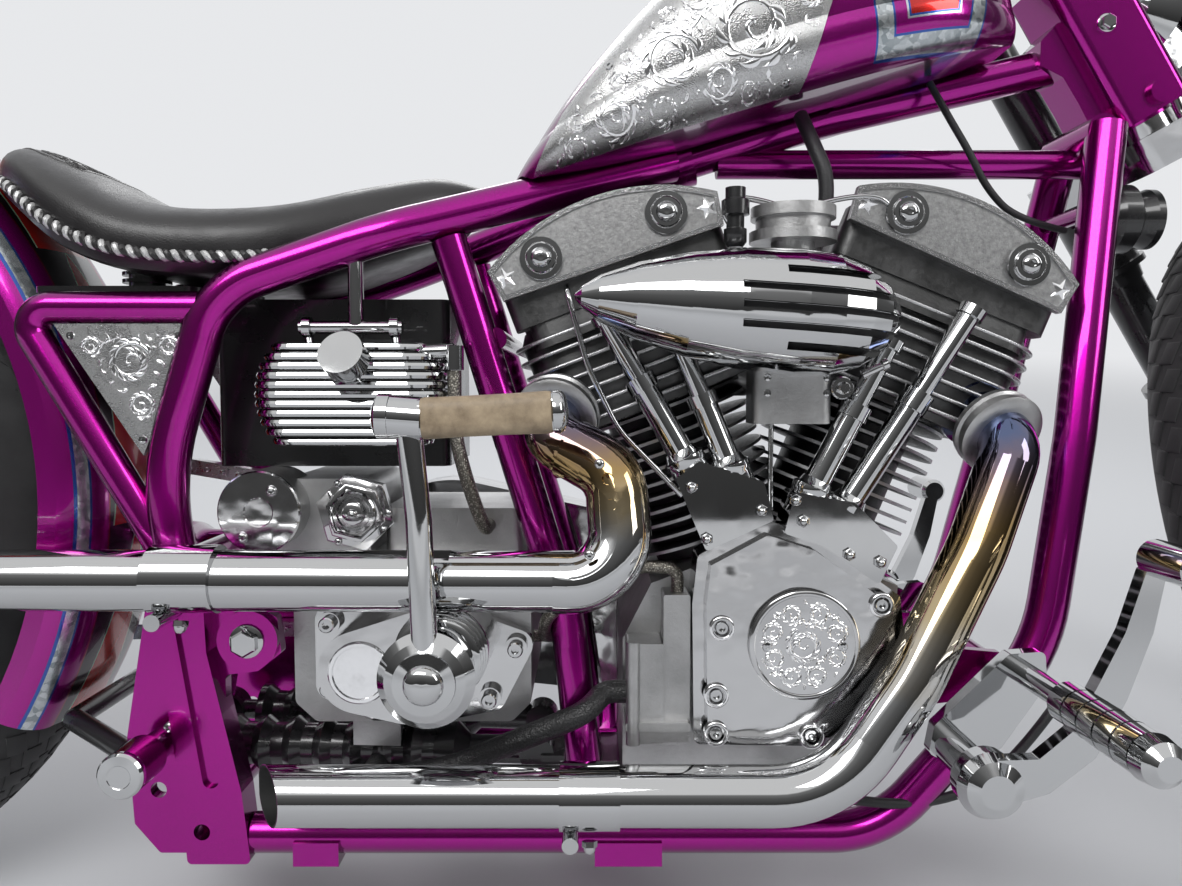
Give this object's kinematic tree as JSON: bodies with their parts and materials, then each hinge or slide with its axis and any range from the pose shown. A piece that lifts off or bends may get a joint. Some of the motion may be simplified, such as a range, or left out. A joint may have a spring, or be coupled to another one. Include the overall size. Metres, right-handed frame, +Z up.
{
  "type": "chopper motorcycle",
  "caption": "Long low motorcycle with an open finned V-twin engine, tube cradle frame, wire wheels, side pipes, solo saddle and raised handlebar, leaning on its side stand.",
  "frame": {"origin": "middle of the footprint of the whole machine as it is parked, on the floor", "axes": "+X forward along the machine, +Y to the rider's left, +Z up; the machine leans 7.1 degrees to its left, onto its side stand"},
  "size_m": [2.2889, 0.7184, 1.2278],
  "materials": {
    "candy_paint": "candy clear coat",
    "chrome": "polished",
    "polished_aluminium": "polished",
    "cast_aluminium": "cast satin",
    "black_metal": "gloss black",
    "black_cast": "satin black",
    "brushed_steel": "brushed",
    "engraved_silver": "scroll engraved",
    "saddle_leather": "smooth black",
    "tyre_rubber": "matt",
    "grip_rubber": "matt",
    "hose_rubber": "braided"
  },
  "bodies": {
    "chassis": {"frame_backbone": "candy_paint", "frame_rear": "candy_paint", "frame_cradle": "candy_paint", "swingarm": "candy_paint", "shocks": "black_metal", "drive_chain": "brushed_steel", "rear_axle": "chrome", "rear_fender": "candy_paint", "fender_brackets": "black_metal", "tail_lamp": "chrome", "plate_holder": "black_metal", "fuel_tank": "candy_paint", "fuel_cap": "chrome", "tank_panels": "engraved_silver", "hoses": "hose_rubber", "triangle_panels": "engraved_silver", "seat": "saddle_leather", "seat_springs": "black_metal", "battery_box": "black_metal", "oil_tank": "chrome", "crankcase": "cast_aluminium", "timing_cover": "polished_aluminium", "cylinders": "black_cast", "heads": "cast_aluminium", "rocker_boxes": "black_cast", "rocker_plates": "cast_aluminium", "pushrod_tubes": "chrome", "carburettor": "cast_aluminium", "air_cleaner": "chrome", "exhaust_pipes": "chrome", "gearbox": "cast_aluminium", "gearbox_cover": "polished_aluminium", "kick_starter": "chrome", "primary_cover": "polished_aluminium", "forward_controls": "chrome", "horn": "black_metal"},
    "steering": {"triple_trees": "polished_aluminium", "fork_legs": "black_metal", "front_axle": "chrome", "handlebar": "chrome", "grips": "grip_rubber", "headlamp": "chrome"},
    "front_wheel": {"front_tyre": "tyre_rubber", "front_rim": "chrome", "front_disc": "brushed_steel"},
    "rear_wheel": {"rear_tyre": "tyre_rubber", "rear_rim": "chrome", "rear_disc": "brushed_steel", "rear_sprocket": "brushed_steel"},
    "stand": {"side_stand": "black_metal"}
  },
  "joints": [
    {"name": "steering_turn", "type": "hinge", "parent": "chassis", "child": "steering", "pos_m": [0.556, 0.00135, 0.68813], "axis": [-0.5091, 0.1064, 0.8541], "range_deg": [-70, 0]},
    {"name": "front_wheel_spin", "type": "hinge", "parent": "steering", "child": "front_wheel", "pos_m": [0.8367, -0.00379, 0.32354], "axis": [-0.4937, 0.7768, -0.391], "continuous": true},
    {"name": "rear_wheel_spin", "type": "hinge", "parent": "chassis", "child": "rear_wheel", "pos_m": [-0.6955, -0.04282, 0.33349], "axis": [0, 0.9923, -0.1236], "continuous": true},
    {"name": "side_stand_fold", "type": "hinge", "parent": "chassis", "child": "stand", "pos_m": [0.07798, 0.06639, 0.09381], "axis": [0.0061, 0.5775, 0.8163], "range_deg": [0, 100]}
  ]
}
